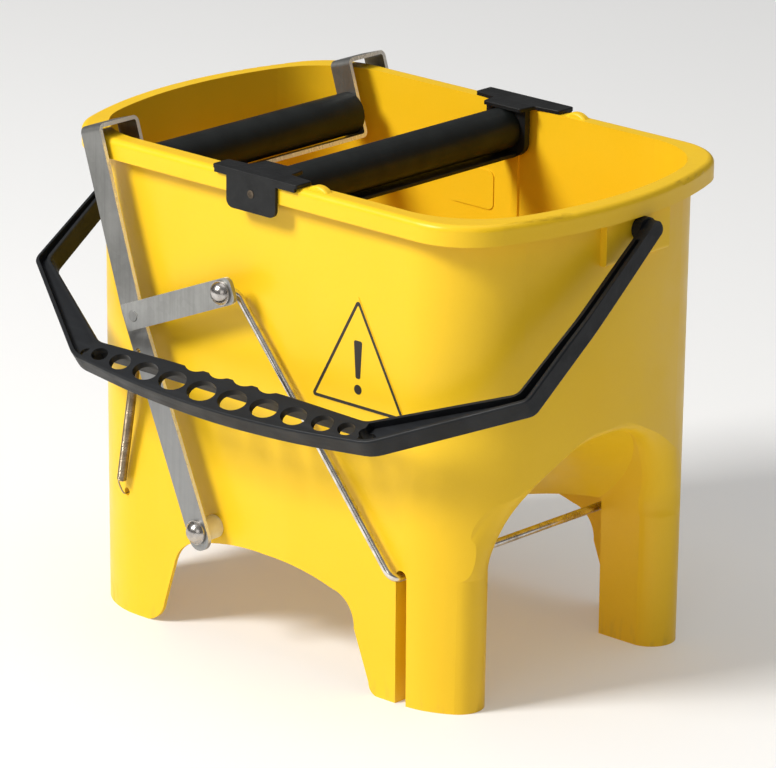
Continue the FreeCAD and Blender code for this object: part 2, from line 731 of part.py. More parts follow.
def swept_rod(points, radius, bend):
    path = Part.Wire(bent_edges(points, [bend] * (len(points) - 2)))
    start = points[0]
    direction = (points[1] - points[0]).normalize()
    circle = Part.Wire(Part.Circle(start, direction, radius).toShape())
    return path.makePipeShell([circle], True, False)


def pedal_rod():
    x, z = link_point(LINK_HOLE_AT)
    end_y = LEVER_Y + 2 * STRIP_THICKNESS + 3.8
    near = [V(x, -end_y, z), V(x, -ROD_Y, z), V(BAR_REST[0], -ROD_Y, BAR_REST[1])]
    far = [V(p.x, -p.y, p.z) for p in reversed(near)]
    return swept_rod(near + far, ROD_RADIUS, ROD_BEND)


# ---------------------------------------------------------------- return springs

def return_spring(sign):
    """Coil drawn as its outer sleeve, with a wire hook at each end."""
    top = V(SPRING_TOP[0], LEVER_Y + 1.6, SPRING_TOP[1])
    foot = V(SPRING_FOOT[0] + 0.6, 127.0, SPRING_FOOT[1])
    coil_top = V(-121.3, 143.9, 200.0)
    coil_foot = V(-143.2, 137.2, 104.5)
    axis = coil_foot - coil_top
    coil = Part.makeCylinder(COIL_RADIUS, axis.Length, coil_top, axis)
    coil = coil.cut(Part.makeCylinder(COIL_RADIUS - 2 * SPRING_WIRE, axis.Length, coil_top, axis))
    plug_top = Part.makeCylinder(COIL_RADIUS, 1.4, coil_top, axis)
    plug_foot = Part.makeCylinder(COIL_RADIUS, 1.4, coil_foot, -axis)
    unit = V(axis).normalize()
    upper = swept_rod([coil_top + unit, coil_top - unit * 7, V(top.x, 144.4, top.z), top], SPRING_WIRE, 1.2)
    lower = swept_rod([coil_foot - unit, coil_foot + unit * 5, V(foot.x, 134.6, foot.z), foot], SPRING_WIRE, 1.2)
    spring = fuse_all([coil, plug_top, plug_foot, upper, lower])
    return spring if sign > 0 else mirrored(spring)


# ---------------------------------------------------------------- carrying handle

def handle_outline():
    """Closed outline of the handle in its own plane."""
    edges = []
    for points, bends in ((OUTER_EDGE, OUTER_BENDS), (INNER_EDGE, INNER_BENDS)):
        right = [V(x, u, 0) for x, u in points]
        left = [V(-x, u, 0) for x, u in reversed(points) if x > 0]
        left_bends = [bend for (x, u), bend in reversed(list(zip(points[1:], bends))) if x > 0]
        edges += bent_edges(right + left, list(bends) + left_bends)
    for s in (-1, 1):
        outer_foot = V(s * OUTER_EDGE[0][0], OUTER_EDGE[0][1], 0)
        inner_foot = V(s * INNER_EDGE[0][0], INNER_EDGE[0][1], 0)
        edges.append(line(outer_foot, inner_foot))
    return Part.Wire(Part.__sortEdges__(edges))


def finger_hollows():
    """Four hollows along the inner edge of the grip."""
    inner_u = INNER_EDGE[-1][1]
    cuts = []
    for i in range(4):
        x = (i - 1.5) * HOLLOW_PITCH
        centre = V(x, inner_u + HOLLOW_DEPTH - HOLLOW_RADIUS, -20)
        cuts.append(Part.makeCylinder(HOLLOW_RADIUS, 40, centre))
    return cuts


def grip_holes():
    """Row of oval lightening holes that shrink and drop towards the ends."""
    centres = (15.2, 45.2, 73.2, 99.9, 121.8, 139.4)
    heights = (235.8, 234.5, 233.6, 232.4, 231.2, 230.0)
    long_half = (13.0, 12.5, 11.5, 9.5, 7.5, 6.0)
    short_half = (9.0, 8.5, 8.0, 7.0, 5.5, 4.5)
    holes = []
    for x, u, a, b in zip(centres, heights, long_half, short_half):
        for s in (-1, 1):
            ellipse = Part.Ellipse(V(s * x, u, -20), a, b)
            face = Part.Face(Part.Wire(ellipse.toShape()))
            holes.append(face.extrude(V(0, 0, 40)))
    return holes


def arm_taper():
    """Envelope across the handle's thickness: thin at the pivots, full at the grip."""
    thin = PIVOT_THICKNESS / 2
    full = HANDLE_THICKNESS / 2
    side = [V(-300, -20, -thin), V(-300, 0, -thin), V(-300, 120, -full), V(-300, 300, -full),
            V(-300, 300, full), V(-300, 120, full), V(-300, 0, thin), V(-300, -20, thin)]
    return Part.Face(polygon(side)).extrude(V(600, 0, 0))


def handle():
    half = HANDLE_THICKNESS / 2
    plate = Part.Face(handle_outline())
    solid = plate.copy()
    solid.translate(V(0, 0, -half))
    solid = solid.extrude(V(0, 0, HANDLE_THICKNESS))
    rims = [e for e in solid.Edges if e.BoundBox.ZLength < 0.1 and e.BoundBox.YMax > 0]
    solid = solid.makeFillet(1.5, rims)
    solid = solid.common(arm_taper())
    tips = [e for e in solid.Edges if e.BoundBox.YMax < -7 and e.BoundBox.XLength > 5]
    solid = solid.makeFillet(PIVOT_THICKNESS / 2 - 1.0, tips)

    pocket = plate.makeOffset2D(-HANDLE_FLANGE).extrude(V(0, 0, half + 1))
    pocket = pocket.cut(box(-GROOVE_END_X, GROOVE_END_X, 150, 300, -1, half + 2))
    pocket = pocket.cut(box(-300, 300, -20, 14, -1, half + 2))
    for s in (1, -1):
        side = pocket.copy()
        if s < 0:
            side = side.mirror(ORIGIN, Z_AXIS)
        side.translate(V(0, 0, s * HANDLE_WEB / 2))
        solid = solid.cut(side)
    under = plate.makeOffset2D(-HANDLE_FLANGE).extrude(V(0, 0, HANDLE_THICKNESS))
    under.translate(V(0, 0, GRIP_WEB - half))
    under = under.common(box(-GRIP_POCKET_X, GRIP_POCKET_X, GRIP_POCKET_U, 300, -half, half + 2))
    solid = solid.cut(under)
    for cut in finger_hollows() + grip_holes():
        solid = solid.cut(cut)

    length = 5.0
    for s in (-1, 1):
        boss = tube_along(X_AXIS * s, V(s * (ARM_INNER_X - length), 0, 0), BOSS_RADIUS, length + 2)
        solid = solid.fuse(boss)
        start = V(s * (ARM_INNER_X - length - 1), 0, 0)
        solid = solid.cut(tube_along(X_AXIS * s, start, 4.6, length + 3.6))
    solid = solid.removeSplitter()
    a = math.radians(HANDLE_TILT)
    frame = FreeCAD.Matrix(1, 0, 0, 0,
                           0, -math.sin(a), math.cos(a), HANDLE_PIVOT_Y,
                           0, -math.cos(a), -math.sin(a), HANDLE_PIVOT_Z,
                           0, 0, 0, 1)
    solid.transformShape(frame)
    return solid


def handle_pin(sign):
    """Stud fixed in the handle that turns in the bucket's end wall."""
    inner = HANDLE_HOLE_X + 0.4
    outer = ARM_INNER_X + 2.4
    start = V(sign * inner, HANDLE_PIVOT_Y, HANDLE_PIVOT_Z)
    return tube_along(X_AXIS * sign, start, 4.56, outer - inner)


def handle_bush(sign):
    """Collar pressed into the end wall round the handle stud, with a flange outside the wall."""
    inner = HANDLE_HOLE_X + 0.2
    face = HANDLE_BLOCK_X + 0.05
    outer = HANDLE_BLOCK_X + 1.2
    start = V(sign * inner, HANDLE_PIVOT_Y, HANDLE_PIVOT_Z)
    bush = tube_along(X_AXIS * sign, start, 5.05, outer - inner)
    flange = tube_along(X_AXIS * sign, V(sign * face, HANDLE_PIVOT_Y, HANDLE_PIVOT_Z), 8.0, outer - face)
    return bush.fuse(flange).cut(tube_along(X_AXIS * sign, start - X_AXIS * sign, 4.62, 40))


def caution_decal():
    """Thin printed warning triangle on the near side."""
    apex = V(89.5, 0, 294)
    left = V(44, 0, 212)
    right = V(135, 0, 212)
    wire = polygon([left, right, apex])
    face = Part.Face(wire)
    plate = face.extrude(V(0, -0.5, 0))
    tilt = math.degrees(math.atan(WALL_DRAFT / HEIGHT))
    plate.translate(V(0, -(RIM_HALF_WIDTH - WALL_INSET - WALL_DRAFT * (HEIGHT - 212) / HEIGHT) - 0.05, 0))
    plate.rotate(V(0, -RIM_HALF_WIDTH + WALL_INSET, 212), X_AXIS, tilt)
    return plate


def main():
    os.makedirs("parts", exist_ok=True)
    body = bucket_body()
    panel, rib = wall_details()
    body = body.fuse(panel).fuse(rib).removeSplitter()
    export("bucket_body", [body])
    export("wringer_yoke", [wringer_yoke()])
    export("link_rivets", [link_rivet(s) for _, s in SIDES])
    export("pedal_rod", [pedal_rod()])
    export("bracket_screws", [bracket_screw(s) for _, s in SIDES])
    export("fixed_cradle_bar", [cradle_bar()])

    moving = lever_point(MOVING_AXIS_RISE)
    for name, (x, z), half in (("fixed", FIXED_AXIS, FIXED_HALF), ("moving", moving, MOVING_HALF)):
        export(name + "_roller_sleeve", [roller_sleeve(x, z, half)])
        export(name + "_roller_end_plugs", roller_caps(x, z, half))
    export("fixed_roller_axle", [fixed_axle()])
    export("moving_roller_axle", [moving_axle()])

    link_x, link_z = link_point(LINK_HOLE_AT)
    for name, s in SIDES:
        export("fixed_bracket_" + name, [end_bracket(s)])
        export("link_bar_" + name, [link_bar(s)])
        export("pivot_bolt_" + name, [pivot_bolt(s)])
        export("pivot_spacer_" + name, [pivot_spacer(s)])
        export("pivot_washer_" + name, [pivot_washer(s)])
        export("pivot_nut_" + name, [pivot_nut(s)])
        cap_y = LEVER_Y + STRIP_THICKNESS + 0.3
        export("pivot_dome_cap_" + name, [dome_cap(PIVOT[0], PIVOT[1], cap_y, PIVOT_BOLT, s)])
        cap_y = LEVER_Y + 2 * STRIP_THICKNESS + 0.3
        export("rod_dome_cap_" + name, [dome_cap(link_x, link_z, cap_y, ROD_RADIUS, s)])
        export("return_spring_" + name, [return_spring(s)])

    export("handle", [handle()])
    for name, s in ENDS:
        export("handle_pin_" + name, [handle_pin(s)])
        export("handle_bush_" + name, [handle_bush(s)])
    export("caution_decal", [caution_decal()])


main()
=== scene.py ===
import bmesh
import bpy
import json
import math
from mathutils import Matrix, Vector


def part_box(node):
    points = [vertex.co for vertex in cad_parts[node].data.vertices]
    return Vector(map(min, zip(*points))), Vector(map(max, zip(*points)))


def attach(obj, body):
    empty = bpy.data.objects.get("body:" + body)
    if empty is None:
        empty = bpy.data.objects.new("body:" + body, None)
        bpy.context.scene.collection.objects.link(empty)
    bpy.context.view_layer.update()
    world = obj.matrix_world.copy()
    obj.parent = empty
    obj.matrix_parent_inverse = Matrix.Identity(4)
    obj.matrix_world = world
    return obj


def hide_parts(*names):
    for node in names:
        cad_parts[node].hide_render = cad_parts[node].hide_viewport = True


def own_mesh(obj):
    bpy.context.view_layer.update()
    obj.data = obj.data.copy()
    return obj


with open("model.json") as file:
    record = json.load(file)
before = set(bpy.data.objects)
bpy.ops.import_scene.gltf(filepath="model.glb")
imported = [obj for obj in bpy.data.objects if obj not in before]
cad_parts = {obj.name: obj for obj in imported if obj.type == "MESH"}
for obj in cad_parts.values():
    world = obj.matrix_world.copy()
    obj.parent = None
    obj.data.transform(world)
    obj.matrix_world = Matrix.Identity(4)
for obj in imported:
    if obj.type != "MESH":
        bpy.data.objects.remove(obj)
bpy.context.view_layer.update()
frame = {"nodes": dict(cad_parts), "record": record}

# Lengths are in metres and angles in radians unless a name or comment says otherwise.
MM = 0.001

# Camera: the direction it looks from, the point it looks at, and small moves of the camera sideways
CAMERA_AZIMUTH = math.radians(42.56)
CAMERA_ELEVATION = math.radians(17.94)
CAMERA_ROLL = math.radians(0.6)
CAMERA_TARGET = Vector((0, 0, 0.1825))
CAMERA_DISTANCE = 4.1709
CAMERA_LEFT = 0.0035
CAMERA_DOWN = 0.00333
CAMERA_CLIP_END = 50
LENS_MM = 264.8
SENSOR_MM = 36.0

# Area lights: name, place, side of the square, watts, colour. All look at LIT_POINT.
LIT_POINT = Vector((0, 0, 0.2))
LIGHTS = (
    ("key", (-1.41, -3.13, 3.10), 1.3, 216, (1.0, 0.985, 0.95)),
    ("fill", (2.30, -3.40, 1.60), 2.0, 15, (1.0, 0.99, 0.97)),
    ("overhead", (0.0, 0.3, 3.0), 2.6, 19, (1.0, 1.0, 1.0)),
)
WORLD_LOW = (0.25, 0.25, 0.255, 1)
WORLD_HIGH = (1.0, 1.0, 1.0, 1)
WORLD_STRENGTH = 0.33
FLOOR_HALF = 12
FLOOR_COLOUR = (0.78, 0.78, 0.78, 1)
FLOOR_ROUGHNESS = 0.8
FLOOR_GLOW = 0.16

# Walls lean out by this much per metre of height
WALL_DRAFT = 2.0 / 365.0

# Scuffs fade out between these heights, above the feet and below the top of the rim
FOOT_SCUFFS = (0.022, 0.002)
RIM_SCUFFS = (0.3625, 0.3652)
# Painted reflection: the steel strips are painted paler from the first height down to the second,
# for the brighter reflection on their lower parts.
LEVER_PAINTED_REFLECTION = (0.26, 0.20)

# How far the steel strips lean from upright, and the directions that their sheared edges face
LEVER_LEAN = math.radians(-18.0)
LEVER_EDGE = (0.935, 0.0, 0.354)
# Painted light: the lever's zinc is painted darker than the link's, for how light falls on it.
LEVER_PAINTED_LIGHT_TONE = 0.50
LINK_LEAN = math.radians(67.6)
LINK_EDGE = (-0.381, 0.0, 0.925)
# Painted light: the link's zinc is painted lighter than the lever's, for how light falls on it.
LINK_PAINTED_LIGHT_TONE = 0.75

# Return spring on the far side. The near one is its mirror image.
LEVER_HOLE = Vector((-0.1115, 0.1499, 0.2136))
WALL_HOLE = Vector((-0.1430, 0.1270, 0.0940))
COIL_TOP = Vector((-0.1213, 0.1439, 0.2000))
COIL_FOOT = Vector((-0.1432, 0.1372, 0.1045))
COIL_RADIUS = 0.0030
COIL_PITCH = 0.00125
COIL_STEPS_PER_TURN = 16
WIRE_RADIUS = 0.0006


# ---------------------------------------------------------------- camera, floor and light

def add_object(name, data):
    obj = bpy.data.objects.new(name, data)
    bpy.context.scene.collection.objects.link(obj)
    return obj


def make_camera():
    back = Vector((math.sin(CAMERA_AZIMUTH) * math.cos(CAMERA_ELEVATION),
                   -math.cos(CAMERA_AZIMUTH) * math.cos(CAMERA_ELEVATION),
                   math.sin(CAMERA_ELEVATION)))
    right = Vector((math.cos(CAMERA_AZIMUTH), math.sin(CAMERA_AZIMUTH), 0))
    up = back.cross(right)
    cam_right = right * math.cos(CAMERA_ROLL) + up * math.sin(CAMERA_ROLL)
    cam_up = up * math.cos(CAMERA_ROLL) - right * math.sin(CAMERA_ROLL)
    place = (CAMERA_TARGET - cam_right * CAMERA_LEFT - cam_up * CAMERA_DOWN
             + back * CAMERA_DISTANCE)
    data = bpy.data.cameras.new("camera")
    data.sensor_width = SENSOR_MM
    data.lens = LENS_MM
    data.clip_end = CAMERA_CLIP_END
    cam = add_object("camera", data)
    turn = Matrix((cam_right, cam_up, back)).transposed()
    cam.matrix_world = Matrix.Translation(place) @ turn.to_4x4()
    bpy.context.scene.camera = cam


def area_light(name, place, side, power, colour):
    data = bpy.data.lights.new(name, "AREA")
    data.shape = "RECTANGLE"
    data.size = side
    data.size_y = side
    data.energy = power
    data.color = colour
    light = add_object(name, data)
    light.location = place
    light.rotation_mode = "QUATERNION"
    light.rotation_quaternion = (LIT_POINT - Vector(place)).to_track_quat("-Z", "Y")


def make_floor():
    mesh = bpy.data.meshes.new("floor")
    h = FLOOR_HALF
    mesh.from_pydata([(-h, -h, 0), (h, -h, 0), (h, h, 0), (-h, h, 0)], [], [(0, 1, 2, 3)])
    floor = add_object("floor", mesh)
    material = bpy.data.materials.new("floor_white")
    material.use_nodes = True
    shader = material.node_tree.nodes["Principled BSDF"]
    shader.inputs["Base Color"].default_value = FLOOR_COLOUR
    shader.inputs["Roughness"].default_value = FLOOR_ROUGHNESS
    shader.inputs["Emission Color"].default_value = (1, 1, 1, 1)
    shader.inputs["Emission Strength"].default_value = FLOOR_GLOW
    mesh.materials.append(material)


def make_world():
    """Even pale surroundings, darker low down, for soft fill and quiet reflections."""
    world = bpy.data.worlds.new("world")
    world.use_nodes = True
    tree = world.node_tree
    place = tree.nodes.new("ShaderNodeTexCoord")
    split = tree.nodes.new("ShaderNodeSeparateXYZ")
    ramp = tree.nodes.new("ShaderNodeValToRGB")
    ramp.color_ramp.elements[0].color = WORLD_LOW
    ramp.color_ramp.elements[1].color = WORLD_HIGH
    tree.links.new(place.outputs["Generated"], split.inputs[0])
    tree.links.new(split.outputs["Z"], ramp.inputs["Fac"])
    tree.links.new(ramp.outputs["Color"], tree.nodes["Background"].inputs["Color"])
    tree.nodes["Background"].inputs["Strength"].default_value = WORLD_STRENGTH
    bpy.context.scene.world = world
    bpy.context.scene.view_settings.view_transform = "Standard"


# ---------------------------------------------------------------- material builder

class Surface:
    """A Principled material whose colour, roughness and bump come from procedural nodes.

    Noise scales are in features per metre.
    """

    def __init__(self, name, metallic=0.0, specular=0.5):
        self.material = bpy.data.materials.new(name)
        self.material.use_nodes = True
        self.tree = self.material.node_tree
        self.shader = self.tree.nodes["Principled BSDF"]
        self.shader.inputs["Metallic"].default_value = metallic
        self.shader.inputs["Specular IOR Level"].default_value = specular
        coordinates = self.tree.nodes.new("ShaderNodeTexCoord")
        self.place = coordinates.outputs["Object"]
        self.facing = coordinates.outputs["Normal"]

    def feed(self, socket, value):
        if isinstance(value, bpy.types.NodeSocket):
            self.tree.links.new(value, socket)
        else:
            socket.default_value = value

    def maths(self, operation, a, b=0.0):
        node = self.tree.nodes.new("ShaderNodeMath")
        node.operation = operation
        self.feed(node.inputs[0], a)
        self.feed(node.inputs[1], b)
        return node.outputs[0]

    def height(self):
        node = self.tree.nodes.new("ShaderNodeSeparateXYZ")
        self.feed(node.inputs[0], self.place)
        return node.outputs["Z"]

    def facing_along(self, direction):
        """How squarely the surface faces along a direction, either way, from 0 to 1."""
        node = self.tree.nodes.new("ShaderNodeVectorMath")
        node.operation = "DOT_PRODUCT"
        self.feed(node.inputs[0], self.facing)
        node.inputs[1].default_value = direction
        return self.maths("ABSOLUTE", node.outputs["Value"])

    def stretched(self, scale, tilt=0.0):
        """The place, turned by tilt about Y and scaled. A small scale draws a texture out."""
        node = self.tree.nodes.new("ShaderNodeMapping")
        self.feed(node.inputs["Vector"], self.place)
        node.inputs["Rotation"].default_value = (0, tilt, 0)
        node.inputs["Scale"].default_value = scale
        return node.outputs["Vector"]

    def noise(self, scale, detail, where=None):
        node = self.tree.nodes.new("ShaderNodeTexNoise")
        self.feed(node.inputs["Vector"], where or self.place)
        node.inputs["Scale"].default_value = scale
        node.inputs["Detail"].default_value = detail
        return node.outputs["Fac"]

    def cells(self, scale):
        """Patches of a random level each, like the crystals of a zinc coat."""
        node = self.tree.nodes.new("ShaderNodeTexVoronoi")
        self.feed(node.inputs["Vector"], self.place)
        node.inputs["Scale"].default_value = scale
        split = self.tree.nodes.new("ShaderNodeSeparateColor")
        self.feed(split.inputs[0], node.outputs["Color"])
        return split.outputs[0]

    def spread(self, value, low, high, out_low=0.0, out_high=1.0):
        """Maps low..high to out_low..out_high, and holds the ends outside that."""
        node = self.tree.nodes.new("ShaderNodeMapRange")
        self.feed(node.inputs["Value"], value)
        node.inputs["From Min"].default_value = low
        node.inputs["From Max"].default_value = high
        node.inputs["To Min"].default_value = out_low
        node.inputs["To Max"].default_value = out_high
        return node.outputs["Result"]

    def colour_mix(self, factor, a, b):
        node = self.tree.nodes.new("ShaderNodeMixRGB")
        self.feed(node.inputs["Fac"], factor)
        for socket, colour in (("Color1", a), ("Color2", b)):
            linked = isinstance(colour, bpy.types.NodeSocket)
            self.feed(node.inputs[socket], colour if linked else (*colour, 1))
        return node.outputs["Color"]

    def finish(self, colour, roughness, bumps):
        """bumps are (height, strength, distance) layers, coarse to fine."""
        self.feed(self.shader.inputs["Base Color"], colour)
        self.feed(self.shader.inputs["Roughness"], roughness)
        normal = None
        for value, strength, distance in bumps:
            node = self.tree.nodes.new("ShaderNodeBump")
            node.inputs["Strength"].default_value = strength
            node.inputs["Distance"].default_value = distance
            self.feed(node.inputs["Height"], value)
            if normal is not None:
                self.feed(node.inputs["Normal"], normal)
            normal = node.outputs["Normal"]
        self.feed(self.shader.inputs["Normal"], normal)
        return self.material


# ---------------------------------------------------------------- materials

def yellow_plastic(name, scuffs=True):
    """Moulded plastic with slight clouds, flow marks and orange peel, scuffed at feet and rim."""
    main, deep = (0.89, 0.565, 0.016), (0.87, 0.535, 0.012)
    speck, streak, scuffed = (0.78, 0.43, 0.008), (0.92, 0.58, 0.03), (0.55, 0.36, 0.06)
    s = Surface(name, specular=0.30)
    broad = s.noise(6.0, 2.0)
    cloud = s.noise(45.0, 4.0)
    grain = s.noise(1500.0, 2.0)
    peel = s.noise(380.0, 2.0)
    flow = s.noise(26.0, 4.0, s.stretched((1.0, 1.0, 0.15)))
    colour = s.colour_mix(s.spread(broad, 0.35, 0.65), main, deep)
    colour = s.colour_mix(s.spread(grain, 0.40, 0.75, 0.0, 0.16), colour, speck)
    colour = s.colour_mix(s.spread(flow, 0.55, 0.80, 0.0, 0.25), colour, streak)
    roughness = s.spread(cloud, 0.30, 0.70, 0.30, 0.42)
    if scuffs:
        low = s.spread(s.height(), *FOOT_SCUFFS)
        high = s.spread(s.height(), *RIM_SCUFFS)
        marks = s.spread(s.noise(160.0, 6.0, s.stretched((1.0, 1.0, 0.3))), 0.52, 0.66)
        worn = s.maths("MULTIPLY", s.maths("MAXIMUM", low, s.maths("MULTIPLY", high, 0.2)), marks)
        colour = s.colour_mix(s.maths("MULTIPLY", worn, 0.28), colour, scuffed)
        roughness = s.maths("ADD", roughness, s.maths("MULTIPLY", worn, 0.25))
    return s.finish(colour, roughness, [(broad, 0.12, 0.010), (flow, 0.10, 0.002),
                                        (peel, 0.10, 0.0004), (grain, 0.08, 0.0001)])


def black_plastic(name, tint, grain_scale, along=(1.0, 1.0, 1.0)):
    """Dark grained plastic. along draws the drag marks out in one direction."""
    dark = tuple(0.62 * c for c in tint)
    dusty = tuple(2.4 * c + 0.003 for c in tint)
    s = Surface(name, specular=0.24)
    grain = s.noise(grain_scale, 3.0)
    cloud = s.noise(55.0, 4.0)
    drag = s.noise(240.0, 5.0, s.stretched(along))
    colour = s.colour_mix(s.spread(cloud, 0.35, 0.65), tint, dark)
    colour = s.colour_mix(s.spread(drag, 0.60, 0.78, 0.0, 0.35), colour, dusty)
    roughness = s.spread(s.maths("ADD", cloud, drag), 0.7, 1.3, 0.36, 0.54)
    return s.finish(colour, roughness, [(drag, 0.15, 0.0006), (grain, 0.35, 0.00018)])


def zinc_strip(name, edge, tilt, painted_light_tone):
    """Dull zinc on rolled steel strip, with bright sheared edges and a grain along the strip. Its
    overall brightness per strip is painted light, and it is painted paler lower down as a painted
    reflection.
    """
    def grey(level):
        return (painted_light_tone * level, painted_light_tone * level, painted_light_tone * level * 0.96)

    pale, cut_steel = (0.38, 0.385, 0.39), (0.86, 0.84, 0.78)
    s = Surface(name)
    spangle = s.cells(260.0)
    drawn = s.noise(420.0, 4.0, s.stretched((1.0, 1.0, 0.03), tilt))
    stain = s.noise(28.0, 5.0)
    sheared = s.spread(s.facing_along(edge), 0.80, 0.95)
    colour = s.colour_mix(s.spread(stain, 0.35, 0.68), grey(0.47), grey(0.37))
    colour = s.colour_mix(s.maths("MULTIPLY", spangle, 0.22), colour, grey(0.58))
    colour = s.colour_mix(s.spread(drawn, 0.35, 0.75, 0.0, 0.30), colour, grey(0.30))
    # Painted reflection: lower down the strips are painted a paler grey, standing in for the
    # brighter reflection there.
    colour = s.colour_mix(s.spread(s.height(), *LEVER_PAINTED_REFLECTION, 0.0, 0.55), colour, pale)
    colour = s.colour_mix(sheared, colour, cut_steel)
    s.feed(s.shader.inputs["Metallic"], s.spread(sheared, 0.0, 1.0, 0.85, 0.25))
    roughness = s.spread(s.maths("ADD", drawn, stain), 0.7, 1.3, 0.36, 0.56)
    roughness = s.maths("SUBTRACT", roughness, s.maths("MULTIPLY", sheared, 0.16))
    return s.finish(colour, roughness, [(stain, 0.10, 0.002), (drawn, 0.12, 0.0001),
                                        (spangle, 0.06, 0.0001)])


def bare_steel(name, base, dark, rough):
    """Bare metal between two shades, from roughness rough up to a little more."""
    s = Surface(name, metallic=1.0)
    stain = s.noise(120.0, 4.0)
    drawn = s.noise(900.0, 3.0)
    colour = s.colour_mix(s.spread(stain, 0.38, 0.72), base, dark)
    roughness = s.spread(s.maths("ADD", stain, drawn), 0.7, 1.3, rough, rough + 0.14)
    return s.finish(colour, roughness, [(stain, 0.08, 0.0006), (drawn, 0.12, 0.0001)])


def natural_nylon(name):
    pale, amber = (0.80, 0.72, 0.47), (0.70, 0.60, 0.34)
    s = Surface(name)
    cloud = s.noise(90.0, 4.0)
    turned = s.noise(500.0, 3.0, s.stretched((1.0, 0.1, 1.0)))
    colour = s.colour_mix(s.spread(cloud, 0.35, 0.70), pale, amber)
    roughness = s.spread(cloud, 0.30, 0.70, 0.34, 0.48)
    return s.finish(colour, roughness, [(cloud, 0.10, 0.0008), (turned, 0.15, 0.0001)])


def printed_ink(name):
    ink, worn_through = (0.022, 0.017, 0.012), (0.12, 0.085, 0.02)
    s = Surface(name, specular=0.4)
    cloud = s.noise(300.0, 4.0)
    specks = s.noise(2200.0, 2.0)
    colour = s.colour_mix(s.spread(specks, 0.66, 0.74, 0.0, 0.5), ink, worn_through)
    roughness = s.spread(cloud, 0.30, 0.70, 0.38, 0.52)
    return s.finish(colour, roughness, [(cloud, 0.10, 0.0001), (specks, 0.10, 0.00003)])


def dress_frame():
    """Gives every CAD node its material, and returns the one for the springs' wire."""
    steel = bare_steel("steel_bright", (0.52, 0.49, 0.46), (0.28, 0.25, 0.23), 0.18)
    rod = bare_steel("steel_drawn_rod", (0.80, 0.77, 0.73), (0.50, 0.45, 0.39), 0.16)
    # The bracket screws' steel is set much darker and browner than the other steel.
    fixings = bare_steel("steel_dark_fixings", (0.14, 0.11, 0.08), (0.05, 0.04, 0.03), 0.34)
    springs = bare_steel("steel_spring_wire", (0.44, 0.36, 0.26), (0.22, 0.17, 0.11), 0.24)
    link = zinc_strip("zinc_link_strip", LINK_EDGE, LINK_LEAN, LINK_PAINTED_LIGHT_TONE)
    black = black_plastic("black_moulded", (0.010, 0.0105, 0.011), 1500.0)
    handle = black_plastic("black_handle", (0.011, 0.0125, 0.015), 1300.0, (0.05, 1.0, 1.0))
    roller = black_plastic("black_roller", (0.008, 0.010, 0.0095), 900.0, (1.0, 0.03, 1.0))
    by_slot = {
        "bucket_plastic": yellow_plastic("yellow_bucket"),
        "black_plastic": black,
        "handle_plastic": handle,
        "roller_plastic": roller,
        "zinc_strip": zinc_strip("zinc_lever_strip", LEVER_EDGE, LEVER_LEAN, LEVER_PAINTED_LIGHT_TONE),
        "bright_steel": steel,
        "spacer_nylon": natural_nylon("nylon_spacer"),
        "decal_vinyl": yellow_plastic("yellow_decal_film", scuffs=False),
    }
    by_node = {
        "link_bar_near": link,
        "link_bar_far": link,
        "pedal_rod": rod,
        "bracket_screws": fixings,
        "return_spring_near": springs,
        "return_spring_far": springs,
    }
    slots = {part["node"]: part["material_slot"] for part in frame["record"]["subparts"]}
    for name, obj in frame["nodes"].items():
        obj.data.materials.clear()
        obj.data.materials.append(by_node.get(name, by_slot[slots[name]]))
    return springs


# ---------------------------------------------------------------- return springs

def wire_piece(name, path, radius, material):
    """Round wire along a list of points, as a smooth mesh with closed ends."""
    data = bpy.data.curves.new(name, "CURVE")
    data.dimensions = "3D"
    data.bevel_depth = radius
    data.bevel_resolution = 2
    data.use_fill_caps = True
    spline = data.splines.new("POLY")
    spline.points.add(len(path) - 1)
    for point, place in zip(spline.points, path):
        point.co = (*place, 1)
    curve = add_object(name + "_path", data)
    bpy.context.view_layer.update()
    shape = curve.evaluated_get(bpy.context.evaluated_depsgraph_get())
    mesh = bpy.data.meshes.new_from_object(shape)
    bpy.data.objects.remove(curve)
    mesh.name = name
    for polygon in mesh.polygons:
        polygon.use_smooth = len(polygon.vertices) == 4
    piece = add_object(name, mesh)
    mesh.materials.clear()
    mesh.materials.append(material)
    return piece


def smooth_path(corners, steps=8):
    """A Catmull-Rom curve through the corners."""
    points = [corners[0]] + list(corners) + [corners[-1]]
    path = []
    for a, b, c, d in zip(points, points[1:], points[2:], points[3:]):
        for i in range(steps):
            t = i / steps
            path.append(0.5 * (2 * b + (c - a) * t + (2 * a - 5 * b + 4 * c - d) * t ** 2
                               + (3 * b - a - 3 * c + d) * t ** 3))
    path.append(Vector(corners[-1]))
    return path


def mirror_path(path, sign):
    return [Vector((p.x, sign * p.y, p.z)) for p in path]


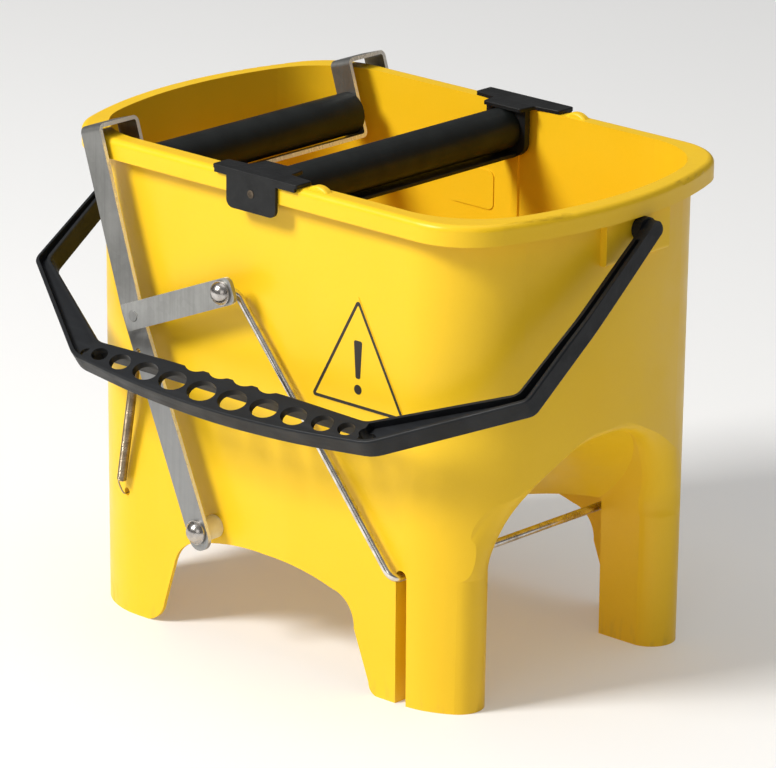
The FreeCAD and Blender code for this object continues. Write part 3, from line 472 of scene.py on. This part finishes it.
def return_spring(side, sign, material):
    """Close-wound coil hooked in the wall, and a draw hook that slides in the coil's bore.

    sign is -1 for the near side and 1 for the far side, which the paths are drawn for.
    """
    axis = (COIL_TOP - COIL_FOOT).normalized()
    across = axis.cross(Vector((0, 1, 0))).normalized()
    third = axis.cross(across)
    turns = (COIL_TOP - COIL_FOOT).length / COIL_PITCH
    coil = []
    for i in range(int(turns * COIL_STEPS_PER_TURN) + 1):
        t = 2 * math.pi * i / COIL_STEPS_PER_TURN
        coil.append(COIL_FOOT + axis * (COIL_PITCH * i / COIL_STEPS_PER_TURN)
                    + (across * math.cos(t) + third * math.sin(t)) * COIL_RADIUS)

    # From the hole in the wall, out and up to the coil's first turn
    foot_hook = smooth_path([
        WALL_HOLE,
        Vector((WALL_HOLE.x, 0.1345, WALL_HOLE.z - 0.0008)),
        COIL_FOOT - axis * 0.0055 + across * 0.0012,
        COIL_FOOT - axis * 0.0018 + across * COIL_RADIUS,
        COIL_FOOT + across * COIL_RADIUS,
    ])
    coil_path = mirror_path(foot_hook[:-1] + coil, sign)
    piece = wire_piece("spring_coil_" + side, coil_path, WIRE_RADIUS, material)
    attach(piece, "spring_" + side)
    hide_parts("return_spring_" + side)

    # From deep in the bore, up out of the coil and through the hole in the lever
    eye = LEVER_HOLE
    draw_hook = smooth_path([
        COIL_TOP - axis * 0.055,
        COIL_TOP - axis * 0.020,
        COIL_TOP + axis * 0.001,
        COIL_TOP + axis * 0.006 + across * 0.0004,
        Vector((eye.x - 0.0012, 0.1449, eye.z - 0.0012)),
        Vector((eye.x - 0.0002, 0.1466, eye.z + 0.0006)),
        eye,
        Vector((eye.x + 0.0002, 0.1522, eye.z - 0.0002)),
    ])
    hook_path = mirror_path(draw_hook, sign)
    hook = wire_piece("spring_draw_hook_" + side, hook_path, WIRE_RADIUS, material)
    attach(hook, "spring_" + side)
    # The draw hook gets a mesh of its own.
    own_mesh(hook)


# ---------------------------------------------------------------- caution mark

def rounded_corners(corners, inset, radius, steps=6):
    """A convex outline moved in by inset, with round corners."""
    count = len(corners)
    outline = []
    for i, corner in enumerate(corners):
        before = (corners[i - 1] - corner).normalized()
        after = (corners[(i + 1) % count] - corner).normalized()
        half = before.angle(after) / 2
        inward = (before + after).normalized()
        centre = corner + inward * ((inset + radius) / math.sin(half))
        start = math.pi / 2 - half
        for k in range(steps + 1):
            t = -start + 2 * start * k / steps
            out = Vector((-inward.x * math.cos(t) + inward.y * math.sin(t),
                          -inward.x * math.sin(t) - inward.y * math.cos(t)))
            outline.append(centre + out * radius)
    return outline


def raised_shape(bm, outline, hole, place, depth):
    """Adds a flat shape, or a ring if hole is given, raised by depth off the wall."""
    def loop(points, rise):
        return [bm.verts.new(place(p, rise)) for p in points]

    count = len(outline)
    top = loop(outline, depth)
    low = loop(outline, 0.0)
    for i in range(count):
        j = (i + 1) % count
        bm.faces.new((low[i], low[j], top[j], top[i]))
    if hole is None:
        bm.faces.new(top)
        bm.faces.new(low[::-1])
        return
    hole_top = loop(hole, depth)
    hole_low = loop(hole, 0.0)
    for i in range(count):
        j = (i + 1) % count
        bm.faces.new((top[i], top[j], hole_top[j], hole_top[i]))
        bm.faces.new((hole_low[i], hole_low[j], low[j], low[i]))
        bm.faces.new((hole_low[j], hole_low[i], hole_top[i], hole_top[j]))


def caution_mark():
    """Plain triangle outline with a bar and a dot, printed on the near wall."""
    low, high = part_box("caution_decal")
    middle = (low.x + high.x) / 2
    foot_y = low.y + (high.z - low.z) * WALL_DRAFT
    sunk = 0.02 * MM
    ink_thickness = 0.12 * MM
    margin = 0.5 * MM
    ring_width = 2.3 * MM
    bar_foot, bar_foot_half = low.z + 22 * MM, 2.2 * MM
    bar_head, bar_head_half = low.z + 50 * MM, 4.0 * MM
    dot_z, dot_radius, dot_sides = low.z + 14 * MM, 3.6 * MM, 28

    def place(point, rise):
        x, z = point
        return (x, foot_y - (z - low.z) * WALL_DRAFT + sunk - rise, z)

    corners = [Vector((low.x, low.z)), Vector((high.x, low.z)), Vector((middle, high.z))]
    outer = rounded_corners(corners, margin, 2.2 * MM)
    inner = rounded_corners(corners, margin + ring_width, 0.6 * MM)
    bar = rounded_corners([Vector((middle - bar_foot_half, bar_foot)),
                           Vector((middle + bar_foot_half, bar_foot)),
                           Vector((middle + bar_head_half, bar_head)),
                           Vector((middle - bar_head_half, bar_head))], 0.0, 1.6 * MM)
    dot = [Vector((middle + dot_radius * math.cos(t), dot_z + dot_radius * math.sin(t)))
           for t in (2 * math.pi * i / dot_sides for i in range(dot_sides))]
    bm = bmesh.new()
    for outline, hole in ((outer, inner), (bar, None), (dot, None)):
        raised_shape(bm, outline, hole, place, ink_thickness)
    bmesh.ops.recalc_face_normals(bm, faces=bm.faces)
    mesh = bpy.data.meshes.new("caution_mark")
    bm.to_mesh(mesh)
    bm.free()
    mark = add_object("caution_mark", mesh)
    mesh.materials.append(printed_ink("ink_black"))
    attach(mark, "bucket")


make_camera()
make_floor()
make_world()
for light in LIGHTS:
    area_light(*light)
spring_steel = dress_frame()
return_spring("near", -1, spring_steel)
return_spring("far", 1, spring_steel)
caution_mark()
